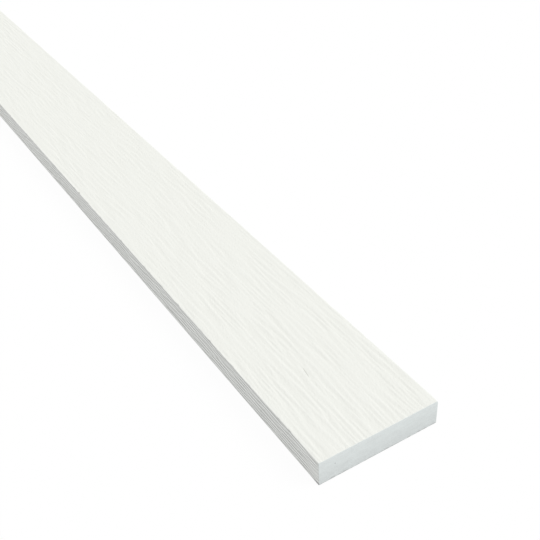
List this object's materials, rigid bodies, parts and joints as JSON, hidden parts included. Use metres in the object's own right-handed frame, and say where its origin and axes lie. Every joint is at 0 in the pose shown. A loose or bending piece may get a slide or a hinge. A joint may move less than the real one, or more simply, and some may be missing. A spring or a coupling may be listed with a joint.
{
  "type": "fibre cement trim board",
  "caption": "Long flat fibre cement board with a primed woodgrain show face, lightly eased long arrises and square-cut ends, used to trim corners, openings, eaves and bands on outside walls.",
  "frame": {"origin": "centre of the back, on the floor that the board lies on", "axes": "+Y along the length, +X across the face, +Z out of the show face"},
  "size_m": [0.0888, 3.048, 0.0191],
  "materials": {
    "primed_fibre_cement": "matt white primer over embossed woodgrain, bare cement on the cut ends"
  },
  "bodies": {
    "root": {"trim_board": "primed_fibre_cement"}
  },
  "joints": []
}
